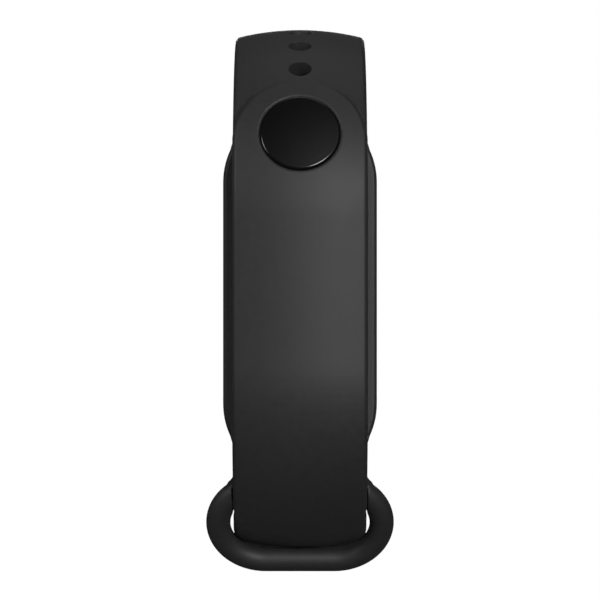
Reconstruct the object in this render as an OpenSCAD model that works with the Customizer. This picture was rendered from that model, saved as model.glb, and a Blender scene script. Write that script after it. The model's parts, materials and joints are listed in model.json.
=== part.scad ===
// Fitness tracker band, closed on its clasp: a moulded silicone strap with a snap-in tracker capsule.
// X runs across the strap (the wrist's axis), +Y points from the wrist to the display, +Z is up.
// The origin is the centre of the wrist opening.

/* [Wrist opening] */
// Distance from the origin to the wrist side of the strap and of the sensor bump
wrist_half = 17.7; // [17.5:0.1:18]
// Radius of the wrist side at the two corners next to the clasp
corner_r = 22.5; // [22.3:0.1:22.8]
// Length of the straight stretch between those corners
straight_len = 18.2; // [18:0.1:18.6]
// Radius of the wrist side between the top of the band and the cradle
root_r = 18; // [17.8:0.1:18.2]
// Radius of the outer side between the top of the band and the cradle
root_outer_r = 30; // [29.8:0.1:30.4]

/* [Strap] */
// Width of both arms
strap_w = 16.3; // [16:0.1:16.4]
// Thickness of each arm at its middle
strap_t = 2; // [1.9:0.05:2.1]
// Radius of the rounded outer side, across the arm
camber_r = 33; // [30:1:45]
// Gap between the tail and the arm under it
layer_gap = 0.15; // [0.1:0.01:0.15]
// Distance between adjustment holes, along the arm's mid-thickness
hole_pitch = 5.35; // [5.2:0.05:5.4]
// Diameter of the adjustment holes
hole_d = 2.8; // [2.65:0.05:2.8]
// Holes between the used one and the cradle
holes_above = 4; // [2:1:4]
// Holes between the used one and the keeper
holes_below = 7; // [4:1:7]

/* [Clasp and keeper] */
// Angle of the clasp above the upper corner's centre
clasp_angle = 22.5; // [22:0.25:23]
// Diameter of the clasp's disc
disc_d = 9.6; // [9:0.1:10]
// Diameter of the keeper's round section
keeper_d = 3; // [2.9:0.05:3.1]
// Radius of the keeper's bends, at the middle of its section
keeper_bend_r = 5.8; // [5.7:0.05:5.9]
// Angle below the lower corner's centre at which the holed arm ends
keeper_angle = 34; // [33.5:0.25:34.5]

/* [Capsule] */
// Length of the tracker capsule
capsule_len = 47; // [46:0.1:47]
// Width of the tracker capsule
capsule_w = 18; // [18:0.1:18.2]
// Thickness of the cradle's side walls
cradle_wall = 1.2; // [1.2:0.05:1.5]
// Clearance between the capsule and the cradle
capsule_fit = 0.05; // [0.04:0.01:0.08]

/* [Hidden] */
$fn = 96;
eps = 0.01;

// ---- The strap's path, in the side plane (Y, Z) ----
corner_y = corner_r - wrist_half;               // Y of both corner centres
corner_z = straight_len / 2;                    // Z of the upper corner's centre
arm_mid_r = corner_r + strap_t / 2;             // mid-thickness of the inner layer
arm_out_r = corner_r + strap_t;
tail_in_r = arm_out_r + layer_gap;              // wrist side of the outer layer
tail_mid_r = tail_in_r + strap_t / 2;
tail_out_r = tail_in_r + strap_t;
top_z = corner_z + arm_out_r;                   // highest point of the band
root_z = corner_z + corner_r - root_r;          // Z of the root's wrist-side arc centre
root_outer_z = top_z - root_outer_r;            // Z of the root's outer arc centre
shoulder_r = 20;                                // rounds the root off below the cradle's rim
inset = 0.01;                                   // one stretch of an arm starts this far inside the next

// The lower arm steps out from the inner layer to the outer one through the keeper.
step_from = 70;                                 // degrees below the lower corner's centre
step_to = 50;
step_span = step_from - step_to;
// Radius of the step's two equal and opposite bends, which touch both layers' circles:
// (2r)^2 = a^2 + b^2 - 2ab cos(span), where a = arm_mid_r + r and b = tail_mid_r - r
step_sum = arm_mid_r + tail_mid_r;
step_rise = tail_mid_r - arm_mid_r;
step_k = 2 * (1 + cos(step_span));
step_a = 4 - step_k;
step_b = step_k * step_rise;
step_c = step_k * arm_mid_r * tail_mid_r - step_sum * step_sum;
step_r = (-step_b + sqrt(step_b * step_b - 4 * step_a * step_c)) / (2 * step_a);
step_first = arm_mid_r + step_r;                // distance of the first bend's centre
step_second = tail_mid_r - step_r;              // distance of the second bend's centre
// Angle of the triangle between the two bends' centres and the corner's, at the first bend
step_turn = acos((step_first * step_first + 4 * step_r * step_r - step_second * step_second)
    / (4 * step_r * step_first));

// ---- Where the tail is divided, because silicone bends there ----
bend_low_angle = 20;                            // below the lower corner's centre
bend_mid_z = -3;
tip_r = strap_w / 2 - 0.02;                     // the tail's end is round about the clasp

// ---- Keeper, in its own plane ----
keeper_side = 4.25;                             // half of its straight bar
keeper_top = 1.5;                               // its upper bar's middle, past the holed arm's end
keeper_hinge = keeper_top + keeper_d / 2 + 0.15; // just past the upper edge of its opening
keeper_gap = 0.08;                              // between the keeper and each edge of the tail
fillet_r = 2;                                   // hollow between the arm's edge and the keeper's outside
fillet_y = keeper_top + keeper_bend_r - sqrt(pow(keeper_bend_r + keeper_d / 2 + fillet_r, 2)
    - pow(strap_w / 2 + fillet_r - keeper_side, 2));

// ---- Capsule and cradle, as places along Y ----
bump_y = wrist_half;                            // sensor bump
back_y = bump_y + 0.9;                          // charging face
cradle_back_y = back_y + 0.3;
lip_y = cradle_back_y + 1.2;                    // the cradle's inner lip carries the capsule here
shoulder_y = lip_y + capsule_fit;
rim_y = shoulder_y + 8.15;                      // the shell's front rim
gasket_t = 0.15;
glass_y = rim_y + gasket_t;
front_y = glass_y + 1.7;                        // the glass's highest line
cradle_rim_y = rim_y - 0.7;
shell_wall = 1.2;
step_in = 1.4;                                  // the shell's back is this much narrower each side
floor_y = back_y + 1;                           // inside of the shell's back
ledge_y = shoulder_y + 0.85;                    // inside of the shell's shoulder
cradle_w = capsule_w + 2 * (capsule_fit + cradle_wall);
cradle_len = capsule_len + 2 * (capsule_fit + 1.45);
end_z = (capsule_len - capsule_w) / 2;          // centres of the capsule's round ends

// ---- Hollow sides that lead from the arms' edges into the cradle's round ends ----
flare_r = 20;
cradle_end_z = (cradle_len - cradle_w) / 2;     // centres of the cradle's round ends
flare_x = strap_w / 2 + flare_r;                // centre of each hollow side
flare_z = cradle_end_z + sqrt(pow(cradle_w / 2 + flare_r, 2) - pow(flare_x, 2));
flare_from = cradle_end_z + (flare_z - cradle_end_z) * cradle_w / (cradle_w + 2 * flare_r) + 0.8;

// ---- Inside the capsule ----
sensor_y = floor_y + 0.1;                       // sensor board
battery_y = sensor_y + 0.4;
frame_y = battery_y + 3.7;                      // inner frame's plate
board_y = frame_y + 0.75;
parts_y = board_y + 0.7;                        // board's front side
display_y = glass_y - 0.95;
motor_z = -15.6;
motor_r = 4;
motor_y = battery_y - 0.05;
motor_t = 2.9;
motor_skin = 0.25;
shaft_r = 0.4;
contact_x = 3.3;
contact_r = 1.5;
seal_t = 0.3;
window_r = 4.2;

silicone = [0.16, 0.16, 0.17];
piano_black = [0.03, 0.03, 0.035];
shell_black = [0.09, 0.09, 0.10];
board_green = [0.05, 0.22, 0.16];
steel = [0.75, 0.76, 0.78];
gold = [0.83, 0.68, 0.32];

// ---- Shared shapes ----

// An arm's section, with its mid-thickness at distance mid from a bend's axis.
// The rounded side faces away from the axis, or towards it when outward is -1.
module arm_section(mid, outward = 1, grow = 0, deeper = 0, w = strap_w) {
    low = mid - strap_t / 2 - grow - deeper;
    high = mid + strap_t / 2 + grow;
    intersection() {
        translate([low, -w / 2 - grow]) square([high - low, w + 2 * grow]);
        translate([mid + outward * (strap_t / 2 - camber_r), 0]) circle(r = camber_r + grow, $fn = 180);
    }
}

// Turns its 2D child about the X axis, between two angles above the -Y direction.
module bend(centre, from, to) {
    translate([0, centre[0], centre[1]]) rotate([0, 90, 0]) rotate([0, 0, 270 - to])
        rotate_extrude(angle = to - from) children();
}

// An upright straight stretch on the clasp side, between two heights.
module straight(mid, from, to) {
    translate([0, corner_y, from]) linear_extrude(height = to - from) rotate(-90) arm_section(mid);
}

// Extrudes a (Y, Z) outline across the strap.
module across(w) {
    rotate([90, 0, 90]) linear_extrude(height = w, center = true) children();
}

// Puts its child's +Z along a corner's radius, at an angle above the -Y direction.
module on_corner(side, angle) {
    translate([0, corner_y, side * corner_z]) rotate([90 - angle, 0, 0]) children();
}

module pill(w, len) {
    square([w, len - w], center = true);
    for (s = [-1, 1]) translate([0, s * (len - w) / 2]) circle(d = w);
}

// A pill-shaped prism from one Y to another.
module pill_prism(w, len, from, to) {
    translate([0, to, 0]) rotate([90, 0, 0]) linear_extrude(height = to - from) pill(w, len);
}

// A cylinder along Y, from one Y to another, and a block given by its two corners.
module rod_y(r, from, to, x = 0, z = 0) {
    translate([x, to, z]) rotate([90, 0, 0]) cylinder(r = r, h = to - from);
}

module block(low, high) {
    translate(low) cube(high - low);
}

// ---- Strap ----

// The root's outline, seen from the display: the arm's width, wider towards the cradle.
module root_outline() {
    half = strap_w / 2 - inset;
    translate([-half, 0]) square([2 * half, 40]);
    difference() {
        translate([-cradle_w / 2, flare_from]) square([cradle_w, flare_z - flare_from]);
        for (s = [-1, 1]) translate([s * flare_x, flare_z]) circle(r = flare_r + inset);
    }
}

// The thickening stretch from the band's top to the cradle, between arcs about different centres.
// Its wrist side ends level with the cradle's back.
module root() {
    difference() {
        intersection() {
            bend([corner_y, root_outer_z], 89.8, 180)
                arm_section(root_outer_r - strap_t / 2, grow = -inset, deeper = 12, w = cradle_w);
            across(cradle_w + 2) translate([corner_y + 1, corner_z + 9]) circle(r = shoulder_r);
            translate([0, 40, 0]) rotate([90, 0, 0]) linear_extrude(height = 40) root_outline();
        }
        difference() {
            across(cradle_w + 2) translate([corner_y, root_z]) circle(r = root_r + inset);
            block([-cradle_w, cradle_back_y, 0], [cradle_w, cradle_back_y + 20, cradle_len / 2]);
        }
        pill_prism(cradle_w, cradle_len, cradle_back_y - 8, cradle_rim_y + 5);
    }
}

module strap_cradle() {
    color(silicone) difference() {
        pill_prism(cradle_w, cradle_len, cradle_back_y, cradle_rim_y);
        pill_prism(capsule_w + 2 * capsule_fit, capsule_len + 2 * capsule_fit, lip_y, cradle_rim_y + 1);
        pill_prism(capsule_w - 2 * step_in + 0.2, capsule_len - 2 * step_in + 0.2,
            cradle_back_y - 1, lip_y + 1);
    }
}

// The neutral-line distance of hole k from the upper corner's lower end, positive upwards.
function hole_at(k) = clasp_angle * PI / 180 * arm_mid_r + k * hole_pitch;

module adjustment_hole(k) {
    s = hole_at(k);
    turn = 180 / PI / arm_mid_r;
    if (s >= 0) {
        on_corner(1, s * turn) hole_cut();
    } else if (s >= -straight_len) {
        translate([0, corner_y, corner_z + s]) rotate([90, 0, 0]) hole_cut();
    } else {
        on_corner(-1, (s + straight_len) * turn) hole_cut();
    }
}

module hole_cut() {
    translate([0, 0, corner_r - 1]) cylinder(d = hole_d, h = strap_t + 2);
}

// Moves its child into the keeper's plane: X across, Y along the plane from the holed arm's end, Z outwards.
module in_keeper_plane() {
    on_corner(-1, -keeper_angle) translate([0, 0, arm_mid_r]) mirror([0, 1, 0]) children();
}

// The keeper's whole ring, of which the upper bar lies in the holed arm's end.
module keeper_ring(d = keeper_d) {
    for (s = [-1, 1]) {
        translate([s * keeper_side, keeper_top + keeper_bend_r, 0]) rotate([0, 0, s > 0 ? -90 : 90])
            rotate_extrude(angle = 180) translate([keeper_bend_r, 0]) circle(d = d);
        translate([-keeper_side, keeper_top + keeper_bend_r * (1 + s), 0]) rotate([0, 90, 0])
            cylinder(d = d, h = 2 * keeper_side);
    }
}

// The hollow web that leads from the arm's edge into the keeper's outside.
module keeper_fillet() {
    translate([0, 0, -0.9]) linear_extrude(height = 1.3) difference() {
        translate([strap_w / 2 - 0.3, fillet_y]) square([1, keeper_hinge - fillet_y]);
        translate([strap_w / 2 + fillet_r - 0.03, fillet_y]) circle(r = fillet_r);
    }
}

module hole_arm() {
    color(silicone) difference() {
        union() {
            root();
            bend([corner_y, corner_z], 0, 90) arm_section(arm_mid_r);
            straight(arm_mid_r, -corner_z, corner_z);
            bend([corner_y, -corner_z], -keeper_angle, 0) arm_section(arm_mid_r);
            in_keeper_plane() {
                block([-strap_w / 2 - 0.4, 1.5, -0.9], [strap_w / 2 + 0.4, keeper_hinge, 0.5]);
                block([-strap_w / 2 + 0.1, -0.3, -0.9], [strap_w / 2 - 0.1, keeper_hinge, 0.5]);
                for (s = [-1, 1]) scale([s, 1, 1]) keeper_fillet();
                for (s = [-1, 1]) intersection() {
                    keeper_ring();
                    translate([s * (strap_w / 2 + keeper_gap + 4.5), 0, 0])
                        cube([9, 2 * keeper_hinge, 10], center = true);
                }
            }
        }
        for (k = [-holes_below:holes_above]) adjustment_hole(k);
    }
}

// The keeper below the holed arm. Its upper corners are flat outside, where the tail lies over them.
module keeper_loop() {
    color(silicone) in_keeper_plane() difference() {
        intersection() {
            keeper_ring();
            translate([-15, keeper_hinge, -5]) cube([30, 20, 10]);
        }
        block([-strap_w / 2 - keeper_gap, 0, -0.1], [strap_w / 2 + keeper_gap, keeper_hinge + 2.5, 5]);
    }
}

// The arm from the cradle to the keeper.
// Its edges are relieved where the keeper's lower corners press on them.
module lower_arm() {
    first_centre = [corner_y - step_first * cos(step_from), -corner_z - step_first * sin(step_from)];
    second_centre = [corner_y - step_second * cos(step_to), -corner_z - step_second * sin(step_to)];
    color(silicone) difference() {
        union() {
            mirror([0, 0, 1]) root();
            bend([corner_y, -corner_z], -90, -step_from) arm_section(arm_mid_r);
            bend(first_centre, 179.8 - step_from - step_turn, 180.2 - step_from)
                arm_section(step_r, -1, inset);
            bend(second_centre, -step_from - step_turn - 0.4, 0.4 - step_to)
                arm_section(step_r, 1, 2 * inset);
            bend([corner_y, -corner_z], -step_to, -bend_low_angle) arm_section(tail_mid_r);
        }
        in_keeper_plane() intersection() {
            keeper_ring(keeper_d + 0.4);
            translate([-15, keeper_hinge + 1, -5]) cube([30, 12, 10]);
        }
    }
}

module tail_lower() {
    color(silicone) {
        bend([corner_y, -corner_z], -bend_low_angle, 0) arm_section(tail_mid_r);
        straight(tail_mid_r, -corner_z, bend_mid_z);
    }
}

module tail_middle() {
    color(silicone) straight(tail_mid_r, bend_mid_z, corner_z);
}

disc_y = tail_out_r - 1.05;                     // floor of the disc's recess, along the clasp's axis
flange_top = tail_in_r + 0.4;
flange_r = 2.25;
shank_r = 1.25;
pin_r = 0.9;
stud_head_r = 1.1;
stud_neck_r = 0.85;

module tail_tip() {
    color(silicone) difference() {
        intersection() {
            bend([corner_y, corner_z], 0, clasp_angle + 25) arm_section(tail_mid_r);
            on_corner(1, clasp_angle) union() {
                translate([0, -0.4, arm_mid_r]) cylinder(r = tip_r, h = 5);
                translate([-strap_w, -2 * strap_w, 10]) cube([2 * strap_w, 2 * strap_w, 20]);
            }
        }
        on_corner(1, clasp_angle) {
            translate([0, 0, disc_y]) cylinder(d = disc_d + 0.1, h = 3);
            cylinder(r = shank_r + 0.02, h = tail_out_r);
            cylinder(r = flange_r + 0.02, h = flange_top);
        }
    }
}

// A low-domed metal disc with a blind hole for the stud's pin.
module clasp_disc() {
    dome_r = 30;
    color(piano_black) on_corner(1, clasp_angle) difference() {
        intersection() {
            translate([0, 0, disc_y]) cylinder(d = disc_d, h = 1.15);
            translate([0, 0, disc_y + 1.15 - dome_r]) sphere(r = dome_r, $fn = 120);
        }
        translate([0, 0, disc_y - eps]) cylinder(r = pin_r, h = 0.6 + eps);
    }
}

// The stud: a pin in the disc, a flange under the tail, and a neck and head in the arm's hole.
module clasp_stud() {
    head_t = 0.65;
    color(steel) on_corner(1, clasp_angle) rotate_extrude() polygon([
        [0, corner_r], [stud_head_r - 0.2, corner_r], [stud_head_r, corner_r + 0.2],
        [stud_head_r, corner_r + head_t - 0.2], [stud_neck_r, corner_r + head_t],
        [stud_neck_r, tail_in_r], [flange_r, tail_in_r], [flange_r, flange_top],
        [shank_r, flange_top], [shank_r, disc_y], [pin_r, disc_y], [pin_r, disc_y + 0.6], [0, disc_y + 0.6]
    ]);
}

// ---- Capsule ----

module capsule_shell() {
    bump_w = 11.6;
    bump_len = 17;
    color(shell_black) difference() {
        union() {
            pill_prism(capsule_w, capsule_len, shoulder_y, rim_y);
            pill_prism(capsule_w - 2 * step_in, capsule_len - 2 * step_in, back_y, shoulder_y);
            pill_prism(bump_w, bump_len, bump_y, back_y);
        }
        pill_prism(capsule_w - 2 * shell_wall, capsule_len - 2 * shell_wall, ledge_y, rim_y + 1);
        pill_prism(capsule_w - 2 * (step_in + 1.1), capsule_len - 2 * (step_in + 1.1),
            floor_y, ledge_y + eps);
        rod_y(window_r, bump_y - 1, floor_y + 1);
        for (s = [-1, 1]) rod_y(contact_r + seal_t, back_y - 1, floor_y + 1, s * contact_x, motor_z);
        rod_y(1.25, floor_y - 0.5, floor_y + 1, 0, motor_z);
    }
}

// A pill of glass with a flat back and a front rounded across its width and, less, along its length.
module front_glass() {
    front_r = 26;
    long_r = 210;
    color([0.05, 0.05, 0.06]) intersection() {
        pill_prism(capsule_w - 0.2, capsule_len - 0.2, glass_y, front_y + 1);
        translate([0, front_y - front_r, 0]) cylinder(r = front_r, h = capsule_len + 2, center = true);
        across(capsule_w + 2) translate([front_y - long_r, 0]) circle(r = long_r, $fn = 360);
    }
}

module glass_gasket() {
    color([0.1, 0.1, 0.1]) difference() {
        pill_prism(capsule_w - 0.4, capsule_len - 0.4, rim_y, glass_y);
        pill_prism(capsule_w - 2 * shell_wall, capsule_len - 2 * shell_wall, rim_y - 1, glass_y + 1);
    }
}

module display_panel() {
    color([0.04, 0.04, 0.06]) block([-6.3, display_y, -14.7], [6.3, glass_y, 14.8]);
}

// The display's ribbon, folded down to its socket on the board.
module display_flex() {
    color([0.75, 0.42, 0.1]) {
        block([-3, display_y + 0.3, -15.3], [3, display_y + 0.45, -14.7]);
        block([-3, parts_y + 0.6, -15.3], [3, display_y + 0.3, -15.15]);
        block([-3.4, parts_y, -16.2], [3.4, parts_y + 0.6, -14.4]);
    }
}

module inner_frame() {
    out_w = capsule_w - 2 * shell_wall - 0.2;
    out_len = capsule_len - 2 * shell_wall - 0.2;
    rib = 0.75;
    color([0.2, 0.2, 0.22]) difference() {
        pill_prism(out_w, out_len, ledge_y + 0.02, frame_y + 0.7);
        pill_prism(out_w - 2 * rib, out_len - 2 * rib, ledge_y - 1, frame_y);
        block([-6.4, frame_y - 1, -1], [6.85, frame_y + 1, 16.2]);
        block([-4.5, frame_y - 1, -11], [4.5, frame_y + 1, -4]);
    }
}

module main_board() {
    color(board_green) difference() {
        pill_prism(capsule_w - 2 * shell_wall - 1.2, capsule_len - 2 * shell_wall - 1.2, board_y, parts_y);
        for (s = [-1, 1]) rod_y(0.6, board_y - 1, parts_y + 1, 0, s * 19.5);
    }
}

// The pressed steel can over the processor, open towards the board.
module shield_can() {
    color(steel) difference() {
        block([-5, parts_y, -1], [5, parts_y + 1.4, 11]);
        block([-4.8, parts_y - 1, -0.8], [4.8, parts_y + 1.2, 10.8]);
    }
}

// Chips as [x, z, width, length, height], on the board's front side.
chips = [
    [-1.4, 5.2, 5.2, 5.2, 0.8], [3, 2.2, 2.4, 3, 0.7], [3, 7.4, 2.4, 2.4, 0.7], [-2.8, 9.4, 2, 1.4, 0.6],
    [-3.6, -4.4, 2.6, 2.6, 0.9], [3.4, -4.6, 2, 3.2, 0.8], [0, -8.2, 3, 2, 0.7], [4, -10.4, 1.6, 2.4, 0.6],
    [-4.4, -10.6, 1.2, 2, 0.6], [-2.6, 14.2, 3.2, 1.6, 0.7], [2.8, 14.4, 1.6, 2, 0.6]
];

module board_chips() {
    color([0.12, 0.12, 0.13]) for (c = chips)
        block([c[0] - c[2] / 2, parts_y, c[1] - c[3] / 2],
            [c[0] + c[2] / 2, parts_y + c[4], c[1] + c[3] / 2]);
}

// A thin metal antenna bent round the capsule's upper end.
module antenna_strip() {
    r = capsule_w / 2 - shell_wall - 0.3;
    color(gold) translate([0, board_y + 2.6, end_z]) rotate([90, 0, 0]) rotate([0, 0, 15])
        rotate_extrude(angle = 150) translate([r - 0.12, 0]) square([0.12, 2.6]);
}

module battery_cell() {
    color([0.72, 0.73, 0.76]) block([-6.3, battery_y, -9.5], [6.3, battery_y + 3.6, 15.5]);
}

module battery_tab() {
    color(gold) block([-2.5, battery_y + 1.4, 15.5], [2.5, board_y, 15.7]);
}

module battery_adhesive() {
    color([0.85, 0.85, 0.82]) block([-5.6, sensor_y + 0.3, -8.8], [5.6, battery_y, 14.8]);
}

module sensor_window() {
    color([0.03, 0.03, 0.03]) rod_y(window_r - 0.02, bump_y, bump_y + 0.8);
}

// Places of the two lamps and the two light sensors, on either side of the window's middle
lamp_z = 2.3;
diode_x = 2.3;

// The black wall that keeps the lamps' light off the light sensors.
module sensor_baffle() {
    color([0.06, 0.06, 0.06]) difference() {
        rod_y(window_r - 0.1, bump_y + 0.85, sensor_y);
        for (s = [-1, 1]) rod_y(0.95, bump_y, sensor_y + 1, 0, s * lamp_z);
        for (s = [-1, 1]) rod_y(1.15, bump_y, sensor_y + 1, s * diode_x, 0);
    }
}

module sensor_leds() {
    color([0.5, 0.85, 0.5]) for (s = [-1, 1])
        block([-0.6, sensor_y - 0.6, s * lamp_z - 0.6], [0.6, sensor_y, s * lamp_z + 0.6]);
}

module photodiodes() {
    color([0.15, 0.12, 0.2]) for (s = [-1, 1])
        block([s * diode_x - 0.75, sensor_y - 0.5, -0.75], [s * diode_x + 0.75, sensor_y, 0.75]);
}

module sensor_board() {
    color(board_green) difference() {
        translate([0, 0, -6.5]) pill_prism(13, 27, sensor_y, sensor_y + 0.3);
        for (s = [-1, 1]) rod_y(0.7, sensor_y - 1, sensor_y + 1, s * contact_x, motor_z);
    }
}

module sensor_flex() {
    color([0.75, 0.42, 0.1]) block([6.34, sensor_y + 0.3, -0.5], [6.46, board_y, 4]);
}

// Two gold-plated pads with the stems that reach the sensor board.
module charging_contacts() {
    color(gold) for (s = [-1, 1]) {
        rod_y(contact_r, back_y - 0.05, floor_y - 0.1, s * contact_x, motor_z);
        rod_y(0.6, floor_y - 0.1, sensor_y + 0.3, s * contact_x, motor_z);
    }
}

module contact_seals() {
    color([0.1, 0.1, 0.1]) for (s = [-1, 1]) difference() {
        rod_y(contact_r + seal_t, back_y + 0.05, floor_y - 0.1, s * contact_x, motor_z);
        rod_y(contact_r, back_y, floor_y, s * contact_x, motor_z);
    }
}

module charging_magnet() {
    color([0.6, 0.6, 0.62]) rod_y(1.2, floor_y - 0.5, floor_y, 0, motor_z);
}

// ---- Vibration motor: a coin-shaped can with an off-centre weight on a fixed shaft ----

module motor_can() {
    color(steel) difference() {
        rod_y(motor_r, motor_y + motor_skin, motor_y + motor_t, 0, motor_z);
        rod_y(motor_r - motor_skin, motor_y, motor_y + motor_t - motor_skin, 0, motor_z);
    }
}

module motor_base() {
    color([0.5, 0.5, 0.52]) difference() {
        rod_y(motor_r, motor_y, motor_y + motor_skin, 0, motor_z);
        rod_y(shaft_r, motor_y - 1, motor_y + 1, 0, motor_z);
    }
}

module motor_shaft() {
    color([0.85, 0.85, 0.87]) rod_y(shaft_r, motor_y, motor_y + motor_t - motor_skin, 0, motor_z);
}

module motor_weight() {
    low = motor_y + motor_skin + 0.3;
    high = motor_y + motor_t - motor_skin - 0.3;
    color([0.62, 0.58, 0.5]) difference() {
        union() {
            rod_y(1.1, low, high, 0, motor_z);
            intersection() {
                rod_y(motor_r - motor_skin - 0.3, low, high, 0, motor_z);
                block([-motor_r, low - 1, motor_z - motor_r], [motor_r, high + 1, motor_z]);
            }
        }
        rod_y(shaft_r + 0.03, low - 1, high + 1, 0, motor_z);
    }
}

module motor_pad() {
    color([0.2, 0.2, 0.2]) rod_y(3, motor_y + motor_t, frame_y, 0, motor_z);
}

strap_cradle();
hole_arm();
lower_arm();
keeper_loop();
tail_lower();
tail_middle();
tail_tip();
clasp_disc();
clasp_stud();
capsule_shell();
front_glass();
glass_gasket();
display_panel();
display_flex();
inner_frame();
main_board();
shield_can();
board_chips();
antenna_strip();
battery_cell();
battery_tab();
battery_adhesive();
sensor_window();
sensor_baffle();
sensor_leds();
photodiodes();
sensor_board();
sensor_flex();
charging_contacts();
contact_seals();
charging_magnet();
motor_can();
motor_base();
motor_shaft();
motor_weight();
motor_pad();
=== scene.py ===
"""Looks for the fitness tracker band: strap, clasp and capsule, camera, light and floor."""

import json
import math

import bmesh
import bpy
import numpy as np
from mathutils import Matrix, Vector


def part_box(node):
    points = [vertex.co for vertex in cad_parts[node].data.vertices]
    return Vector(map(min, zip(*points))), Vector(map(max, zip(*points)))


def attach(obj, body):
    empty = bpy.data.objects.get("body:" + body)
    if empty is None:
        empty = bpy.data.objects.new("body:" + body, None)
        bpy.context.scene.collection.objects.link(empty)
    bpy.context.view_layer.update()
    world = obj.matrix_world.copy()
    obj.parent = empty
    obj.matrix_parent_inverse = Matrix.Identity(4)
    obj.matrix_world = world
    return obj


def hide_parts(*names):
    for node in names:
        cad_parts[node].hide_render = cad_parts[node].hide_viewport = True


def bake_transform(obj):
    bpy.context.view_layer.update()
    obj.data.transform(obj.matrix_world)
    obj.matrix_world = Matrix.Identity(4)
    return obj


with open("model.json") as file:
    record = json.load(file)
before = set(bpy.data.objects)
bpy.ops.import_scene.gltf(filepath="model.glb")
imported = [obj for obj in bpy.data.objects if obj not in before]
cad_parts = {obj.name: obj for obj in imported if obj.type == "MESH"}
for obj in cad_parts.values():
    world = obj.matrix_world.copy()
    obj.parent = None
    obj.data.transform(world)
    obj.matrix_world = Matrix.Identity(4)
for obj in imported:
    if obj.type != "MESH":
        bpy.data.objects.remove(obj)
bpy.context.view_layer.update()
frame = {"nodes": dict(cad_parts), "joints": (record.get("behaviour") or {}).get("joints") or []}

MM = 0.001

# ---- Places shared with the CAD part, in metres and degrees ----
CORNER_Y = 4.8 * MM
CORNER_Z = 9.1 * MM
ARM_IN_R, ARM_OUT_R = 22.5 * MM, 24.5 * MM
TAIL_IN_R, TAIL_OUT_R = 24.65 * MM, 26.65 * MM
CAMBER_R = 33 * MM
ROOT_IN_Z, ROOT_IN_R = 13.6 * MM, 18 * MM
ROOT_OUT_Z, ROOT_OUT_R = 3.6 * MM, 30 * MM
STEP_FROM, STEP_TO = 70, 50
FLARE_Z = 19 * MM
KEEPER_ANGLE = 34
LOW_BEND_ANGLE = 20
CLASP_ANGLE = 22.5
DISC_R = 4.8 * MM
TIP_R, TIP_DROP = 8.13 * MM, 0.4 * MM
HOLE_R, HOLE_PITCH, HOLES = 1.4 * MM, 5.35 * MM, range(-7, 5)

# The soft light is brightest from this way: in front, to the right and a little above.
GLOW_WAY = (0.416, -0.86, 0.295)
GLOW_STRENGTH, GLOW_FALL, GLOW_LEAST = 0.6, 6.5, 0.008
FLOOR_Z = -0.3
FLOOR_HALF = 4
CAMERA_PLACE = (0, -0.3715, -0.93 * MM)
CAMERA_LENS = 176

JOINT = {j["name"]: j for j in frame["joints"]}


# ---- Mesh helpers ----


def new_object(name, mesh):
    obj = bpy.data.objects.new(name, mesh)
    bpy.context.scene.collection.objects.link(obj)
    return obj


def mesh_from(name, verts, faces):
    mesh = bpy.data.meshes.new(name)
    mesh.from_pydata([tuple(v) for v in verts], [], faces)
    mesh.validate()
    mesh.update()
    mesh.shade_smooth()
    return mesh


def fused(nodes, voxel, rounds, filler=None):
    """One closed skin round several CAD nodes, with its edges rounded by even smoothing."""
    bm = bmesh.new()
    for node in nodes:
        bm.from_mesh(frame["nodes"][node].data)
    if filler:
        bm.from_mesh(filler.data)
        bpy.data.objects.remove(filler)
    mesh = bpy.data.meshes.new("fused")
    bm.to_mesh(mesh)
    bm.free()
    obj = new_object("fused", mesh)
    remesh = obj.modifiers.new("skin", "REMESH")
    remesh.mode = "VOXEL"
    remesh.voxel_size = voxel
    remesh.adaptivity = 0.0
    graph = bpy.context.evaluated_depsgraph_get()
    skin = bpy.data.meshes.new_from_object(obj.evaluated_get(graph), depsgraph=graph)
    bpy.data.objects.remove(obj)
    smooth_evenly(skin, rounds)
    return skin


def smooth_evenly(mesh, rounds, forward=0.5, back=-0.45):
    """Rounds edges by moving vertices to their neighbours' middle and most of the way back."""
    count = len(mesh.vertices)
    co = np.zeros(count * 3)
    mesh.vertices.foreach_get("co", co)
    co = co.reshape(-1, 3)
    ends = np.zeros(len(mesh.edges) * 2, np.int64)
    mesh.edges.foreach_get("vertices", ends)
    a, b = ends.reshape(-1, 2).T
    degree = np.bincount(np.concatenate([a, b]), minlength=count)[:, None]
    for step in [forward, back] * rounds:
        total = np.stack(
            [
                np.bincount(a, co[b, k], count) + np.bincount(b, co[a, k], count)
                for k in range(3)
            ],
            axis=1,
        )
        co += step * (total / degree - co)
    mesh.vertices.foreach_set("co", co.ravel())
    mesh.update()


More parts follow.
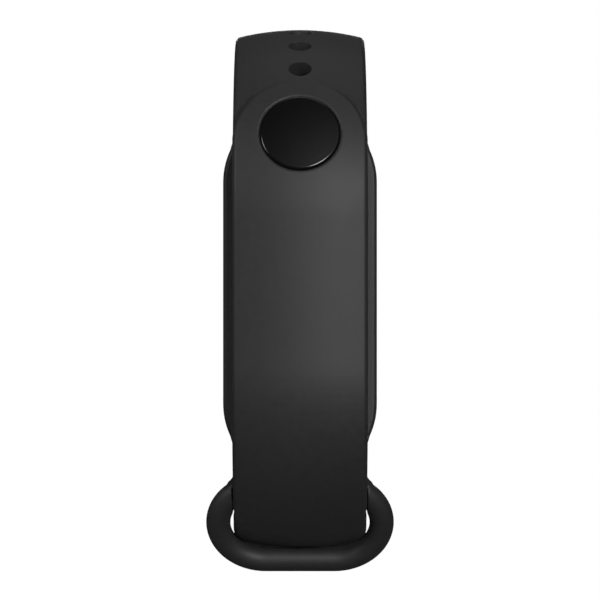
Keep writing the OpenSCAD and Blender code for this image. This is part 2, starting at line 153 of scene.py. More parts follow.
def cut_up(skin, planes, sort_face, names):
    """Cuts a skin at planes into named pieces that still shade as one surface."""
    bm = bmesh.new()
    bm.from_mesh(skin)
    bm.normal_update()
    kept = bm.verts.layers.float_vector.new("kept_normal")
    for v in bm.verts:
        v[kept] = v.normal
    for point, normal in planes:
        bmesh.ops.bisect_plane(
            bm,
            geom=bm.verts[:] + bm.edges[:] + bm.faces[:],
            dist=1e-8,
            plane_co=point,
            plane_no=normal,
        )
    pieces = {}
    share = {name: {"index": {}, "verts": [], "normals": [], "faces": []} for name in names}
    for f in bm.faces:
        name = sort_face(f.calc_center_median())
        if name is None:
            continue
        part = share[name]
        corners = []
        for v in f.verts:
            if v not in part["index"]:
                part["index"][v] = len(part["verts"])
                part["verts"].append(v.co.copy())
                part["normals"].append(v[kept].normalized())
            corners.append(part["index"][v])
        part["faces"].append(corners)
    for name, part in share.items():
        mesh = bpy.data.meshes.new(name)
        mesh.from_pydata(part["verts"], [], part["faces"])
        mesh.update()
        mesh.shade_smooth()
        mesh.normals_split_custom_set_from_vertices(part["normals"])
        pieces[name] = new_object(name, mesh)
    bm.free()
    return pieces


# ---- Soft edges of the moulding ----
# A face is given for every vertex by its depth under the face and the way straight out of it.


def round_edge(co, first, second, radius):
    """Rounds the edge between two faces: a square corner becomes a quarter circle."""
    (depth_a, way_a), (depth_b, way_b) = first, second
    a, b = 1 - depth_a / radius, 1 - depth_b / radius
    near = (a > 0) & (b > 0) & (a < 1.6) & (b < 1.6)
    a, b = a[near], b[near]
    if np.ndim(radius):
        radius = radius[near]
    shift = (np.maximum(a, b) / np.hypot(a, b) - 1) * radius
    co[near] += (shift * a)[:, None] * way_a[near] + (shift * b)[:, None] * way_b[near]


def unit(x, y, z):
    way = np.stack(np.broadcast_arrays(x, y, z), axis=1).astype(float)
    return way / np.maximum(np.linalg.norm(way, axis=1, keepdims=True), 1e-9)


def only(face, where):
    """The same face, but far away from the vertices that it isn't meant for."""
    return np.where(where, face[0], 1.0), face[1]


def arc_place(co):
    """Radius from the path's centre, angle above the clasp side, and the way outwards."""
    y = co[:, 1] - CORNER_Y
    z = co[:, 2] - np.clip(co[:, 2], -CORNER_Z, CORNER_Z)
    radius = np.hypot(y, z)
    return radius, np.degrees(np.arctan2(z, -y)), unit(0 * y, y, z)


def sag(co):
    x = np.minimum(np.abs(co[:, 0]), CAMBER_R)
    return CAMBER_R - np.sqrt(CAMBER_R**2 - x * x)


def arm_faces(co, is_tail):
    """The outer and the wrist side of an arm, from the clasp side round to the cradle."""
    radius, angle, way = arc_place(co)
    step = (np.clip((angle + STEP_FROM) / (STEP_FROM - STEP_TO), 0, 1) if is_tail
            else np.zeros(len(co)))
    step = np.where(step < 0.5, 2 * step**2, 1 - 2 * (1 - step) ** 2)
    rise = step * (TAIL_IN_R - ARM_IN_R)
    outer = [ARM_OUT_R + rise - sag(co) - radius, way]
    inner = [radius - ARM_IN_R - rise, -way]
    y, z = co[:, 1] - CORNER_Y, np.abs(co[:, 2])
    flip = np.sign(co[:, 2])
    root = y > 0
    out_r, in_r = np.hypot(y, z - ROOT_OUT_Z), np.hypot(y, z - ROOT_IN_Z)
    outer[0] = np.where(root, ROOT_OUT_R - sag(co) - out_r, outer[0])
    outer[1] = np.where(root[:, None], unit(0 * y, y, (z - ROOT_OUT_Z) * flip), outer[1])
    inner[0] = np.where(root, in_r - ROOT_IN_R, inner[0])
    inner[1] = np.where(root[:, None], -unit(0 * y, y, (z - ROOT_IN_Z) * flip), inner[1])
    return outer, inner


def pill_face(co, width, length, inward=False):
    """The wall of an upright pill, or of a pill-shaped hole."""
    z = co[:, 2] - np.clip(co[:, 2], (width - length) / 2, (length - width) / 2)
    out = np.hypot(co[:, 0], z)
    way = unit(co[:, 0], 0 * z, z)
    return (out - width / 2, -way) if inward else (width / 2 - out, way)


def level_face(co, y, side):
    """A flat face square to Y that looks to -Y or +Y."""
    return side * (y - co[:, 1]), unit(0 * co[:, 0], side + 0 * co[:, 0], 0 * co[:, 0])


def recess_face(co, radius):
    """The wall of the disc's recess, and each vertex's distance up the tail from the clasp."""
    turn = math.radians(CLASP_ANGLE)
    up, out_way = (math.sin(turn), math.cos(turn)), (-math.cos(turn), math.sin(turn))
    y, z = co[:, 1] - CORNER_Y, co[:, 2] - CORNER_Z
    rise = y * up[0] + z * up[1]
    out = np.hypot(co[:, 0], rise)
    facing = y * out_way[0] + z * out_way[1] > 0
    way = -unit(co[:, 0], rise * up[0], rise * up[1])
    return (np.where(facing, out - radius, 1.0), way), rise


def hole_rods(name, profile):
    """A turned shape on every adjustment hole's axis; heights are from the path's centre."""
    rods = []
    mid_r = (ARM_IN_R + ARM_OUT_R) / 2
    for k in HOLES:
        s = math.radians(CLASP_ANGLE) * mid_r + k * HOLE_PITCH
        turn, z = s / mid_r, CORNER_Z
        if s < -2 * CORNER_Z:
            turn, z = (s + 2 * CORNER_Z) / mid_r, -CORNER_Z
        elif s < 0:
            turn, z = 0, CORNER_Z + s
        axis = (0, -math.cos(turn), math.sin(turn))
        rods.append(lathe("rod", profile, (0, CORNER_Y, z), axis, 56))
    return joined(name, rods)


def hole_plugs():
    """Fills the holes before the skin is made, so that they can be cut cleanly afterwards."""
    r, low, high = HOLE_R + 0.05 * MM, ARM_IN_R + 0.03 * MM, ARM_OUT_R - 0.04 * MM
    return hole_rods("plugs", [(0, low), (r, low), (r, high), (0, high)])


def hole_cutters():
    """Cuts the holes with a small rounded rim on both sides."""
    rim, past = 0.09 * MM, 0.4 * MM
    profile = [(0, ARM_IN_R - past), (HOLE_R + rim, ARM_IN_R - past)]
    for i in range(5):
        turn = math.pi / 2 * i / 4
        profile.append((HOLE_R + rim * (1 - math.sin(turn)), ARM_IN_R + rim * (1 - math.cos(turn))))
    for i in range(5):
        turn = math.pi / 2 * (1 - i / 4)
        profile.append((HOLE_R + rim * (1 - math.sin(turn)),
                        ARM_OUT_R - rim * (1 - math.cos(turn))))
    profile += [(HOLE_R + rim, ARM_OUT_R + past), (0, ARM_OUT_R + past)]
    return hole_rods("cutters", profile)


def soften_edges(skin, is_tail):
    """Rounds the arms' edges, the cradle's rims and the disc's recess."""
    co = np.zeros(len(skin.vertices) * 3)
    skin.vertices.foreach_get("co", co)
    co = co.reshape(-1, 3)
    x, y, z = co.T.copy()
    outer, inner = arm_faces(co, is_tail)
    half = np.abs(x[(np.abs(z) < 5 * MM) & (y < 0)]).max()
    side = (half - np.abs(x), unit(np.sign(x), 0 * x, 0 * x))
    keeper_joint = JOINT["keeper_flex"]["pos_m"]
    turn = math.radians(KEEPER_ANGLE)
    below = (y - keeper_joint[1]) * math.sin(turn) - (z - keeper_joint[2]) * math.cos(turn)
    arm = (np.abs(x) < half + 0.1 * MM) & (y < 18.8 * MM)
    arm &= (below < -3 * MM) | (y > 0) | is_tail
    radius = 0.65 * MM * np.clip((18.8 * MM - y) / (4 * MM), 0.05, 1)
    if is_tail:
        recess, rise = recess_face(co, DISC_R + 0.05 * MM)
        out = np.hypot(x, rise + TIP_DROP)
        turn = math.radians(CLASP_ANGLE)
        shift = rise + TIP_DROP
        tip_way = unit(x, shift * math.sin(turn), shift * math.cos(turn))
        on_tip = (rise > -TIP_DROP) & (z > 0) & (y < 0)
        side = (np.where(on_tip, TIP_R - out, side[0]), np.where(on_tip[:, None], tip_way, side[1]))
    thin = np.minimum(radius, np.maximum(outer[0] + inner[0], 0.1 * MM) / 2)
    round_edge(co, only(side, arm), outer, thin)
    round_edge(co, only(side, arm), inner, thin)
    if is_tail:
        round_edge(co, recess, outer, 0.35 * MM)
    low, high = (Vector(c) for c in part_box("strap_cradle"))
    free = (np.abs(x) > half + 0.15 * MM) & (y > low.y - MM) & (np.abs(z) < FLARE_Z)
    wall = only(pill_face(co, 2 * high.x, 2 * high.z), free)
    round_edge(co, wall, level_face(co, low.y, -1), 0.55 * MM)
    rim = level_face(co, high.y, 1)
    round_edge(co, pill_face(co, 2 * high.x, 2 * high.z), rim, 0.5 * MM)
    wall_t = 2.4 * MM
    round_edge(co, pill_face(co, 2 * high.x - wall_t, 2 * high.z - wall_t, True), rim, 0.25 * MM)
    skin.vertices.foreach_set("co", co.ravel())
    skin.update()


# ---- Strap ----


def build_strap():
    """The silicone moulding, as pieces that meet where the CAD bodies do."""
    voxel, rounds = ((0.16 * MM, 8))
    keeper_joint = Vector(JOINT["keeper_flex"]["pos_m"])
    keeper_turn, low_turn = math.radians(KEEPER_ANGLE), math.radians(LOW_BEND_ANGLE)
    keeper_way = Vector((0, math.sin(keeper_turn), -math.cos(keeper_turn)))
    low_joint = Vector(JOINT["tail_flex_lower"]["pos_m"])
    low_way = Vector((0, -math.sin(low_turn), math.cos(low_turn)))
    mid_joint = Vector(JOINT["tail_flex_middle"]["pos_m"])
    tip_joint = Vector(JOINT["clasp_peel"]["pos_m"])
    up = Vector((0, 0, 1))
    cradle_side = 10 * MM

    def sort_upper(c):
        if c.y > cradle_side and c.z < 0:
            return None
        if c.y < cradle_side and (c - keeper_joint).dot(keeper_way) > 0:
            return "keeper"
        return "strap_upper"

    def sort_lower(c):
        if c.y > cradle_side:
            return None if c.z > 0 else "strap_lower"
        if (c - low_joint).dot(low_way) < 0:
            return "strap_lower"
        if c.z < mid_joint.z:
            return "tail_low"
        return "tail_mid" if c.z < tip_joint.z else "tail_end"

    upper = fused(["strap_cradle", "hole_arm", "keeper_loop"], voxel, rounds, hole_plugs())
    soften_edges(upper, False)
    upper = carved(upper, hole_cutters())
    tail = ["tail_lower", "tail_middle", "tail_tip"]
    lower = fused(["strap_cradle", "lower_arm", *tail], voxel, rounds)
    soften_edges(lower, True)
    pieces = cut_up(
        upper, [(Vector(), up), (keeper_joint, keeper_way)], sort_upper, ["strap_upper", "keeper"]
    )
    pieces.update(
        cut_up(
            lower,
            [(Vector(), up), (low_joint, low_way), (mid_joint, up), (tip_joint, up)],
            sort_lower,
            ["strap_lower", "tail_low", "tail_mid", "tail_end"],
        )
    )
    silicone = silicone_material()
    for piece in pieces.values():
        piece.data.materials.append(silicone)
    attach(pieces["strap_upper"], "strap")
    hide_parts("strap_cradle", "hole_arm")
    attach(pieces["strap_lower"], "strap")
    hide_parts("lower_arm")
    bend_piece(pieces["keeper"], "keeper_loop")
    bend_piece(pieces["tail_low"], "tail_lower")
    bend_piece(pieces["tail_mid"], "tail_middle")
    bend_piece(pieces["tail_end"], "tail_tip")
    return silicone


def bend_piece(piece, node):
    """Bakes a piece's place into its mesh and hides the CAD node that it stands for."""
    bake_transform(piece)
    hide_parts(node)


# ---- Lathe and pill shapes ----


def lathe(name, profile, centre, axis, steps=96):
    """Turns (radius, height) points round an axis. A zero radius closes the shape."""
    axis = Vector(axis).normalized()
    side = Vector((1, 0, 0))
    other = axis.cross(side)
    verts, faces, rows = [], [], []
    for radius, height in profile:
        if radius <= 0:
            rows.append([len(verts)] * steps)
            verts.append(Vector(centre) + axis * height)
            continue
        rows.append(list(range(len(verts), len(verts) + steps)))
        for i in range(steps):
            turn = 2 * math.pi * i / steps
            way = side * math.cos(turn) + other * math.sin(turn)
            verts.append(Vector(centre) + way * radius + axis * height)
    for low, high in zip(rows, rows[1:]):
        for i in range(steps):
            j = (i + 1) % steps
            corners = [low[i], low[j], high[j], high[i]]
            faces.append(list(dict.fromkeys(corners)))
    mesh = bpy.data.meshes.new(name)
    mesh.from_pydata([tuple(v) for v in verts], [], faces)
    return new_object(name, tidy_mesh(mesh))


def pill_ring(width, length, n_end=28, n_side=24):
    """Points (x, z) round a pill outline, from the right end of its upper half-circle."""
    r = width / 2
    straight = (length - width) / 2
    ring = []
    for side in (1, -1):
        for i in range(n_end):
            turn = math.pi * i / n_end
            ring.append((side * r * math.cos(turn), side * (straight + r * math.sin(turn))))
        for i in range(n_side):
            ring.append((-side * r, side * (straight - 2 * straight * i / n_side)))
    return ring


def round_ring(radius, like):
    """Points (x, z) round a circle, in the directions of another ring's points."""
    return [(radius * x / math.hypot(x, z), radius * z / math.hypot(x, z)) for x, z in like]


def loft(name, rings, closed=False):
    """Joins rings of equally many points and closes the ends, or joins last to first."""
    count = len(rings[0])
    verts = [p for ring in rings for p in ring]
    faces = []
    for k in range(len(rings) if closed else len(rings) - 1):
        low, high = k * count, (k + 1) % len(rings) * count
        for i in range(count):
            j = (i + 1) % count
            faces.append([low + i, low + j, high + j, high + i])
    if not closed:
        faces.append(list(range(count)))
        faces.append([(len(rings) - 1) * count + i for i in range(count)])
    mesh = bpy.data.meshes.new(name)
    mesh.from_pydata([tuple(v) for v in verts], [], faces)
    return new_object(name, tidy_mesh(mesh))


def tidy_mesh(mesh):
    """Merges doubled points, turns all faces outwards and shades smoothly up to a sharp angle."""
    bm = bmesh.new()
    bm.from_mesh(mesh)
    bmesh.ops.remove_doubles(bm, verts=bm.verts, dist=1e-6)
    bmesh.ops.dissolve_degenerate(bm, edges=bm.edges, dist=1e-7)
    bmesh.ops.recalc_face_normals(bm, faces=bm.faces[:])
    bm.to_mesh(mesh)
    bm.free()
    mesh.shade_smooth()
    mesh.set_sharp_from_angle(angle=math.radians(50))
    return mesh


# ---- Clasp ----


def build_clasp():
    """The glossy disc with its turned bevel."""
    turn = math.radians(CLASP_ANGLE)
    axis = Vector((0, -math.cos(turn), math.sin(turn)))
    centre = Vector((0, CORNER_Y, CORNER_Z))
    floor = TAIL_OUT_R - 1.05 * MM
    top = floor + 1.13 * MM
    rim = 0.32 * MM
    dome = 30 * MM
    profile = [(0, floor), (DISC_R - 0.1 * MM, floor), (DISC_R, floor + 0.1 * MM)]
    edge = DISC_R - rim
    edge_top = top - edge * edge / (2 * dome)
    for i in range(7):
        turn = math.pi / 2 * i / 6
        profile.append((edge + rim * math.cos(turn), edge_top - rim * 0.75 * (1 - math.sin(turn))))
    for i in range(1, 17):
        r = edge * (1 - i / 16)
        profile.append((r, top - r * r / (2 * dome)))
    disc = lathe("clasp_button", profile, centre, axis, 128)
    dress(disc, clasp_material(), "clasp_coating", "tail_end", "clasp_disc")


# ---- Capsule ----


def corner(width, length, y, radius, turn_from, turn_to, steps=5):
    """Pill rings round a rounded edge whose centre is radius inside the pill."""
    rings = []
    for i in range(steps + 1):
        turn = math.radians(turn_from + (turn_to - turn_from) * i / steps)
        grow = 2 * radius * (math.cos(turn) - 1)
        rings.append((pill_ring(width + grow, length + grow), y + radius * math.sin(turn)))
    return rings


def at_height(rings):
    return [[(x, y, z) for x, z in ring] for ring, y in rings]


def cylinder_cutter(name, x, z, radius, flare, y_from, y_to):
    """A round cutter whose outer end widens, which leaves the hole's edge softened."""
    profile = [(0, 0), (radius + 2 * flare, 0), (radius + flare, flare), (radius, 2 * flare)]
    profile += [(radius, y_to - y_from), (0, y_to - y_from)]
    return lathe(name, profile, (x, y_from, z), (0, 1, 0), 48)


def build_capsule():
    """The tracker: rounded shell with its sensor bump, domed glass, window and charging pads."""
    low, high = (Vector(c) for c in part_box("capsule_shell"))
    back = low.y + 0.9 * MM
    shoulder = low.y + 2.45 * MM
    rim = high.y
    width, length = 2 * high.x, 2 * high.z
    narrow, wall = 2.8 * MM, 2.4 * MM
    ledge, floor = shoulder + 0.85 * MM, back + 1.0 * MM
    bump_w, bump_len = 11.6 * MM, 17 * MM
    bump = pill_ring(bump_w, bump_len)
    hole = 4.2 * MM
    rings = [(round_ring(hole, bump), floor), (round_ring(hole, bump), low.y + 0.1 * MM)]
    rings += [(round_ring(hole + 0.1 * MM, bump), low.y)]
    rings += corner(bump_w, bump_len, low.y + 0.45 * MM, 0.45 * MM, -90, 0)
    rings += [(bump, back - 0.12 * MM)]
    rings += [(pill_ring(bump_w + 0.24 * MM, bump_len + 0.24 * MM), back)]
    rings += corner(width - narrow, length - narrow, back + 0.5 * MM, 0.5 * MM, -90, 0)
    rings += [(pill_ring(width - narrow, length - narrow), shoulder)]
    rings += corner(width, length, shoulder + 0.3 * MM, 0.3 * MM, -90, 0)
    rings += corner(width, length, rim - 0.35 * MM, 0.35 * MM, 0, 90)
    rings += [(pill_ring(width - wall, length - wall), rim)]
    rings += [(pill_ring(width - wall, length - wall), ledge)]
    rings += [(pill_ring(width - 5 * MM, length - 5 * MM), ledge)]
    rings += [(pill_ring(width - 5 * MM, length - 5 * MM), floor)]
    shell = loft("capsule_body", at_height(rings), closed=True)
    pad_low, pad_high = (Vector(c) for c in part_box("charging_contacts"))
    pad_r = 1.5 * MM
    pad_x, pad_z = pad_high.x - pad_r, (pad_low.z + pad_high.z) / 2
    for side in (-1, 1):
        cutter = cylinder_cutter("cutter", side * pad_x, pad_z, pad_r + 0.3 * MM, 0.05 * MM,
                                 back - 0.05 * MM, floor + MM)
        carve(shell, cutter)
    tidy_mesh(shell.data)
    flats_first(shell)
    dress(shell, shell_material(), "shell_plastic", "capsule", "capsule_shell")

    glass_low, glass_high = (Vector(c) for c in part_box("front_glass"))
    dress(domed_glass(glass_low, glass_high), glass_material(), "dark_glass", "capsule",
          "front_glass")

    _, w_high = (Vector(c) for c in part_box("sensor_window"))
    r = w_high.x
    profile = [(0, w_high.y - low.y), (r, w_high.y - low.y), (r, 0.12 * MM),
               (r - 0.04 * MM, 0.05 * MM)]
    profile += [(r - 0.12 * MM, 0.02 * MM), (r * 0.6, 0.006 * MM), (0, 0)]
    window = lathe("heart_window", profile, (0, low.y, 0), (0, 1, 0))
    dress(window, window_material(), "window_plastic", "capsule", "sensor_window")

    gold, rubber = gold_material(), seal_material()
    pads, seals = [], []
    for side in (-1, 1):
        place = (side * pad_x, pad_low.y, pad_z)
        deep = pad_high.y - pad_low.y
        head = floor - 0.1 * MM - pad_low.y
        profile = [(0, 0.03 * MM), (0.9 * pad_r, 0.01 * MM), (0.95 * pad_r, 0), (pad_r, 0.06 * MM),
                   (pad_r, head)]
        profile += [(0.6 * MM, head), (0.6 * MM, deep), (0, deep)]
        pads.append(lathe("pad", profile, place, (0, 1, 0), 64))
        out = pad_r + 0.3 * MM
        profile = [(pad_r, head), (pad_r, 0.16 * MM), (pad_r + 0.1 * MM, 0.1 * MM),
                   (out - 0.1 * MM, 0.1 * MM)]
        profile += [(out, 0.16 * MM), (out, head), (pad_r, head)]
        seals.append(lathe("seal", profile, place, (0, 1, 0), 64))
    dress(joined("charging_pads", pads), gold, "gold_plate", "capsule", "charging_contacts")
    dress(joined("pad_seals", seals), rubber, "seal_rubber", "capsule", "contact_seals")


def domed_glass(low, high):
    """A pill of glass with a flat back, a soft edge and a front curved across and along."""
    width, length = 2 * high.x, 2 * high.z
    across_r, along_r = 26 * MM, 210 * MM

    def front(x, z):
        return (high.y - (across_r - math.sqrt(across_r**2 - x * x))
                - (along_r - math.sqrt(along_r**2 - z * z)))

    rings = at_height([(pill_ring(width - 0.2 * MM, length - 0.2 * MM), low.y)])
    rings += at_height([(pill_ring(width, length), low.y + 0.1 * MM)])
    edge = 0.4 * MM
    for i in range(6):
        turn = math.pi / 2 * i / 5
        grow = 2 * edge * (math.cos(turn) - 1)
        drop = edge * (1 - math.sin(turn))
        rings.append([(x, front(x, z) - drop, z) for x, z in pill_ring(width + grow,
                                                                       length + grow)])
    inner_w, inner_len = width - 2 * edge, length - 2 * edge
    for i in range(1, 19):
        grow = -inner_w * i / 18
        rings.append([(x, front(x, z), z) for x, z in pill_ring(inner_w + grow, inner_len + grow)])
    return loft("glass_front", rings)


def carve(obj, cutter):
    """Cuts one object's shape out of another and removes the cutter."""
    cut = obj.modifiers.new("cut", "BOOLEAN")
    cut.object = cutter
    cut.solver = "EXACT"
    graph = bpy.context.evaluated_depsgraph_get()
    mesh = bpy.data.meshes.new_from_object(obj.evaluated_get(graph), depsgraph=graph)
    obj.modifiers.clear()
    obj.data = mesh
    bpy.data.objects.remove(cutter)


def flats_first(obj):
    """Shades a piece so that its flat faces look flat and only its rounded edges turn the light."""
    weigh = obj.modifiers.new("weigh", "WEIGHTED_NORMAL")
    weigh.keep_sharp = True
    graph = bpy.context.evaluated_depsgraph_get()
    mesh = bpy.data.meshes.new_from_object(obj.evaluated_get(graph), depsgraph=graph)
    obj.modifiers.clear()
    obj.data = mesh


def carved(skin, cutter):
    """A skin with a cutter's shape taken out of it."""
    obj = new_object("carved", skin)
    carve(obj, cutter)
    mesh = obj.data
    bpy.data.objects.remove(obj)
    return mesh


def joined(name, objects):
    """One object that holds the meshes of several."""
    bm = bmesh.new()
    for obj in objects:
        bm.from_mesh(obj.data)
        bpy.data.objects.remove(obj)
    mesh = bpy.data.meshes.new(name)
    bm.to_mesh(mesh)
    bm.free()
    mesh.shade_smooth()
    mesh.set_sharp_from_angle(angle=math.radians(50))
    return new_object(name, mesh)


def dress(piece, mat, slot, body, *nodes):
    """Gives a piece its material and makes it stand for CAD nodes on their body; the slot argument
    is not used.
    """
    piece.data.materials.clear()
    piece.data.materials.append(mat)
    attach(piece, body)
    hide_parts(*nodes)


# ---- Materials ----


def material(name):
    mat = bpy.data.materials.new(name)
    mat.use_nodes = True
    nodes, links = mat.node_tree.nodes, mat.node_tree.links
    return mat, nodes, links, nodes["Principled BSDF"]


def noise(nodes, links, scale, detail=4.0, rough=0.55, stretch=(1, 1, 1)):
    """Noise in the object's own metres, stretched by a scale for each axis."""
    coords = nodes.new("ShaderNodeTexCoord")
    mapping = nodes.new("ShaderNodeMapping")
    mapping.inputs["Scale"].default_value = stretch
    texture = nodes.new("ShaderNodeTexNoise")
    texture.inputs["Scale"].default_value = scale
    texture.inputs["Detail"].default_value = detail
    texture.inputs["Roughness"].default_value = rough
    links.new(coords.outputs["Object"], mapping.inputs["Vector"])
    links.new(mapping.outputs["Vector"], texture.inputs["Vector"])
    return texture.outputs["Fac"]


def cells(nodes, links, scale, stretch=(1, 1, 1)):
    """Straight-sided cells with their distance to the nearest edge."""
    coords = nodes.new("ShaderNodeTexCoord")
    mapping = nodes.new("ShaderNodeMapping")
    mapping.inputs["Scale"].default_value = stretch
    texture = nodes.new("ShaderNodeTexVoronoi")
    texture.feature = "DISTANCE_TO_EDGE"
    texture.inputs["Scale"].default_value = scale
    links.new(coords.outputs["Object"], mapping.inputs["Vector"])
    links.new(mapping.outputs["Vector"], texture.inputs["Vector"])
    return texture.outputs["Distance"]


def spread(nodes, links, value, low, high, from_low=0.3, from_high=0.7):
    """Maps a noise value to a number between low and high."""
    node = nodes.new("ShaderNodeMapRange")
    node.inputs["From Min"].default_value = from_low
    node.inputs["From Max"].default_value = from_high
    node.inputs["To Min"].default_value = low
    node.inputs["To Max"].default_value = high
    links.new(value, node.inputs["Value"])
    return node.outputs["Result"]


def tint(nodes, links, value, dark, light, from_low=0.3, from_high=0.7):
    """Maps a noise value to a colour between dark and light."""
    ramp = nodes.new("ShaderNodeValToRGB")
    ramp.color_ramp.elements[0].position = from_low
    ramp.color_ramp.elements[0].color = (*dark, 1)
    ramp.color_ramp.elements[1].position = from_high
    ramp.color_ramp.elements[1].color = (*light, 1)
    links.new(value, ramp.inputs["Fac"])
    return ramp.outputs["Color"]


def bump(nodes, links, value, distance, strength=1.0, under=None):
    node = nodes.new("ShaderNodeBump")
    node.inputs["Distance"].default_value = distance
    node.inputs["Strength"].default_value = strength
    links.new(value, node.inputs["Height"])
    if under is not None:
        links.new(under, node.inputs["Normal"])
    return node.outputs["Normal"]


def worn(name, dark, light, rough, patch_scale, grain_scale, grain, metal=0.0, stretch=(1, 1, 1),
         **extra):
    """A surface of uneven colour and polish with a fine grain, from noise."""
    mat, nodes, links, shader = material(name)
    patches = noise(nodes, links, patch_scale, 4)
    fine = noise(nodes, links, grain_scale, 2, stretch=stretch)
    links.new(tint(nodes, links, patches, dark, light), shader.inputs["Base Color"])
    links.new(spread(nodes, links, fine, *rough), shader.inputs["Roughness"])
    links.new(bump(nodes, links, fine, grain, 0.6), shader.inputs["Normal"])
    shader.inputs["Metallic"].default_value = metal
    for socket, value in extra.items():
        shader.inputs[socket.replace("_", " ")].default_value = value
    return mat


def silicone_material():
    """Black moulded silicone: soft sheen, fine moulded grain, slightly uneven polish."""
    mat, nodes, links, shader = material("silicone")
    patches = noise(nodes, links, 1100, 3)
    grain = noise(nodes, links, 9000, 2)
    dark, light = (0.022, 0.022, 0.023), (0.026, 0.026, 0.027)
    links.new(tint(nodes, links, patches, dark, light), shader.inputs["Base Color"])
    links.new(spread(nodes, links, patches, 0.53, 0.57), shader.inputs["Roughness"])
    shader.inputs["Specular IOR Level"].default_value = 0.5
    shader.inputs["Sheen Weight"].default_value = 0.03
    shader.inputs["Sheen Roughness"].default_value = 0.5
    broad = bump(nodes, links, noise(nodes, links, 600, 2), 0.004 * MM, 0.5)
    links.new(bump(nodes, links, grain, 0.012 * MM, 0.7, broad), shader.inputs["Normal"])
    return mat


def clasp_material():
    """Polished black coating with a faint ripple and dust-fine wear in its colour."""
    mat, nodes, links, shader = material("clasp_coating")
    patches = noise(nodes, links, 5000, 2)
    dark, light = (0.004, 0.004, 0.0045), (0.006, 0.006, 0.0065)
    links.new(tint(nodes, links, patches, dark, light), shader.inputs["Base Color"])
    links.new(spread(nodes, links, patches, 0.16, 0.18), shader.inputs["Roughness"])
    links.new(bump(nodes, links, patches, 0.0005 * MM, 0.2), shader.inputs["Normal"])
    shader.inputs["Specular IOR Level"].default_value = 0.35
    shader.inputs["Coat Weight"].default_value = 0.25
    shader.inputs["Coat Roughness"].default_value = 0.08
    return mat


def shell_material():
    """Fine spark-eroded texture on black plastic."""
    return worn("shell_plastic", (0.022, 0.022, 0.024), (0.032, 0.032, 0.034), (0.42, 0.52), 300,
                12000, 0.008 * MM)


def glass_material():
    """Black-backed glass: mirror-smooth, with a few faint fingertip smears in its polish."""
    mat, nodes, links, shader = material("dark_glass")
    smears = noise(nodes, links, 120, 2, stretch=(1, 1, 0.4))
    links.new(tint(nodes, links, smears, (0.003, 0.003, 0.004), (0.006, 0.006, 0.008)),
              shader.inputs["Base Color"])
    links.new(spread(nodes, links, smears, 0.03, 0.09, 0.45, 0.75), shader.inputs["Roughness"])
    shader.inputs["IOR"].default_value = 1.52
    shader.inputs["Coat Weight"].default_value = 0.6
    shader.inputs["Coat Roughness"].default_value = 0.02
    return mat


def window_material():
    """Deep red-black plastic that lets infra-red through."""
    mat, nodes, links, shader = material("window_plastic")
    swirl = noise(nodes, links, 700, 2)
    links.new(tint(nodes, links, swirl, (0.006, 0.003, 0.004), (0.012, 0.006, 0.008)),
              shader.inputs["Base Color"])
    links.new(spread(nodes, links, swirl, 0.05, 0.1), shader.inputs["Roughness"])
    shader.inputs["Coat Weight"].default_value = 0.4
    shader.inputs["Coat Roughness"].default_value = 0.04
    return mat


def gold_material():
    """Gold plating with fine turned lines and slightly rubbed middles."""
    dark, light = (0.7, 0.5, 0.19), (0.8, 0.59, 0.25)
    return worn("gold_plate", dark, light, (0.22, 0.28), 900, 9000, 0.0006 * MM, 1.0, (1, 1, 0.3))


def seal_material():
    return worn("seal_rubber", (0.014, 0.014, 0.014), (0.024, 0.024, 0.024), (0.6, 0.75), 900, 9000,
                0.006 * MM)


def board_material():
    """Green solder mask over the faint relief of tracks and pads."""
    mat, nodes, links, shader = material("circuit_board")
    tracks = cells(nodes, links, 700)
    grain = noise(nodes, links, 4000, 2)
    colour = tint(nodes, links, tracks, (0.03, 0.17, 0.1), (0.008, 0.07, 0.045), 0.04, 0.1)
    links.new(colour, shader.inputs["Base Color"])
    links.new(spread(nodes, links, grain, 0.25, 0.4), shader.inputs["Roughness"])
    links.new(bump(nodes, links, tracks, 0.03 * MM, 0.5), shader.inputs["Normal"])
    return mat


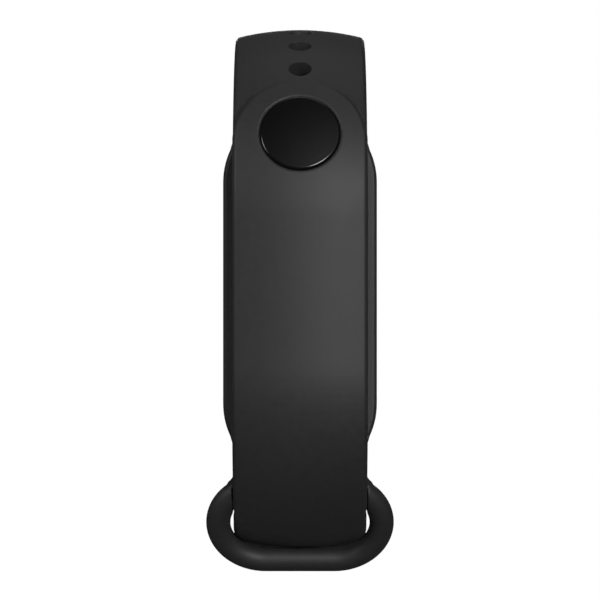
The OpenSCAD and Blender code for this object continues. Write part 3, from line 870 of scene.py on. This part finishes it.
def dress_inside():
    """Procedural finishes for the CAD parts that stay as they are."""
    soft = worn("black_adhesive", (0.012, 0.012, 0.012), (0.022, 0.022, 0.022), (0.7, 0.85), 900,
                9000, 0.01 * MM)
    steel = worn("pressed_steel", (0.48, 0.48, 0.5), (0.62, 0.62, 0.64), (0.25, 0.42), 500, 5000,
                 0.004 * MM, 1.0, (0.08, 1, 1))
    turned = worn("clasp_steel", (0.5, 0.5, 0.52), (0.64, 0.65, 0.67), (0.16, 0.3), 700, 9000,
                  0.003 * MM, 1.0, (0.1, 1, 1))
    flex = worn("polyimide", (0.42, 0.19, 0.03), (0.6, 0.3, 0.06), (0.25, 0.4), 600, 3000,
                0.01 * MM, stretch=(1, 1, 0.1))
    diode = worn("diode_epoxy", (0.05, 0.035, 0.09), (0.11, 0.08, 0.16), (0.08, 0.18), 1500, 6000,
                 0.003 * MM)
    finishes = {
        turned: ["clasp_stud"],
        soft: ["glass_gasket", "sensor_baffle", "motor_pad"],
        worn("display", (0.004, 0.004, 0.008), (0.01, 0.01, 0.018), (0.06, 0.14), 400, 5000,
             0.002 * MM): ["display_panel"],
        flex: ["display_flex", "sensor_flex"],
        worn("frame_plastic", (0.045, 0.045, 0.05), (0.075, 0.075, 0.08), (0.45, 0.6), 400, 7000,
             0.01 * MM): ["inner_frame"],
        board_material(): ["main_board", "sensor_board"],
        steel: ["shield_can", "motor_can", "motor_base", "motor_shaft"],
        worn("chip_epoxy", (0.02, 0.02, 0.021), (0.035, 0.035, 0.037), (0.5, 0.65), 2000, 14000,
             0.006 * MM): ["board_chips"],
        gold_material(): ["antenna_strip", "battery_tab"],
        worn("cell_pouch", (0.52, 0.53, 0.56), (0.68, 0.69, 0.72), (0.3, 0.45), 250, 900, 0.05 * MM,
             0.8): ["battery_cell"],
        worn("white_tape", (0.7, 0.7, 0.66), (0.82, 0.82, 0.78), (0.75, 0.9), 800, 6000,
             0.02 * MM): ["battery_adhesive"],
        worn("lamp_epoxy", (0.3, 0.62, 0.32), (0.45, 0.78, 0.45), (0.08, 0.18), 1500, 5000,
             0.003 * MM): ["sensor_leds"],
        diode: ["photodiodes"],
        worn("magnet_nickel", (0.55, 0.54, 0.52), (0.66, 0.66, 0.64), (0.12, 0.25), 900, 4000,
             0.003 * MM, 1.0): ["charging_magnet"],
        worn("tungsten", (0.28, 0.26, 0.23), (0.4, 0.37, 0.33), (0.4, 0.55), 900, 9000, 0.01 * MM,
             1.0): ["motor_weight"],
    }
    for mat, nodes in finishes.items():
        for node in nodes:
            obj = frame["nodes"][node]
            for slot in obj.material_slots:
                slot.material = mat


# ---- Studio ----


def area_light(name, place, size, power):
    """A square lamp that faces the band."""
    data = bpy.data.lights.new(name, "AREA")
    data.energy = power
    data.size = size
    light = bpy.data.objects.new(name, data)
    light.location = place
    light.rotation_euler = (-Vector(place)).to_track_quat("-Z", "Y").to_euler()
    bpy.context.scene.collection.objects.link(light)


def build_studio():
    scene = bpy.context.scene
    scene.view_settings.view_transform = "Standard"
    camera = bpy.data.cameras.new("camera")
    camera.sensor_width = 36
    camera.lens = CAMERA_LENS
    camera.clip_start = 0.01
    view = bpy.data.objects.new("camera", camera)
    view.location = CAMERA_PLACE
    view.rotation_euler = (math.radians(90), 0, 0)
    scene.collection.objects.link(view)
    scene.camera = view

    world = bpy.data.worlds.new("studio")
    scene.world = world
    world.use_nodes = True
    nodes, links = world.node_tree.nodes, world.node_tree.links
    ground = nodes["Background"]
    coords = nodes.new("ShaderNodeTexCoord")
    facing = nodes.new("ShaderNodeVectorMath")
    facing.operation = "DOT_PRODUCT"
    facing.inputs[1].default_value = GLOW_WAY
    links.new(coords.outputs["Generated"], facing.inputs[0])
    above = nodes.new("ShaderNodeMath")
    above.operation = "MAXIMUM"
    links.new(facing.outputs["Value"], above.inputs[0])
    above.inputs[1].default_value = 0.02
    fall = nodes.new("ShaderNodeMath")
    fall.operation = "POWER"
    links.new(above.outputs["Value"], fall.inputs[0])
    fall.inputs[1].default_value = GLOW_FALL
    glow = nodes.new("ShaderNodeMath")
    glow.operation = "MULTIPLY_ADD"
    links.new(fall.outputs["Value"], glow.inputs[0])
    glow.inputs[1].default_value = GLOW_STRENGTH
    glow.inputs[2].default_value = GLOW_LEAST
    path = nodes.new("ShaderNodeLightPath")
    strength = nodes.new("ShaderNodeMix")
    links.new(path.outputs["Is Camera Ray"], strength.inputs["Factor"])
    links.new(glow.outputs["Value"], strength.inputs["A"])
    strength.inputs["B"].default_value = 1.0
    links.new(strength.outputs["Result"], ground.inputs["Strength"])
    ground.inputs["Color"].default_value = (1, 1, 1, 1)

    corners = [(-FLOOR_HALF, -FLOOR_HALF, FLOOR_Z), (FLOOR_HALF, -FLOOR_HALF, FLOOR_Z)]
    corners += [(FLOOR_HALF, FLOOR_HALF, FLOOR_Z), (-FLOOR_HALF, FLOOR_HALF, FLOOR_Z)]
    floor = new_object("floor", mesh_from("floor", corners, [[0, 1, 2, 3]]))
    pale, nodes, links, shader = material("pale_floor")
    shader.inputs["Base Color"].default_value = (0.08, 0.08, 0.08, 1)
    shader.inputs["Roughness"].default_value = 0.9
    shader.inputs["Emission Color"].default_value = (1, 1, 1, 1)
    seen = nodes.new("ShaderNodeLightPath")
    glow = nodes.new("ShaderNodeMapRange")
    glow.inputs["To Min"].default_value = 0.006
    glow.inputs["To Max"].default_value = 1.0
    links.new(seen.outputs["Is Camera Ray"], glow.inputs["Value"])
    links.new(glow.outputs["Result"], shader.inputs["Emission Strength"])
    floor.data.materials.append(pale)

    area_light("key", (0.2, -0.57, 0.15), 0.2, 2.0)
    area_light("top", (0.05, 0.12, 0.6), 0.4, 0.25)
    area_light("left", (-0.47, -0.3, 0.22), 0.2, 0.9)
    area_light("back", (0.04, 0.65, 0.03), 0.3, 2.0)


build_strap()
build_clasp()
build_capsule()
dress_inside()
build_studio()
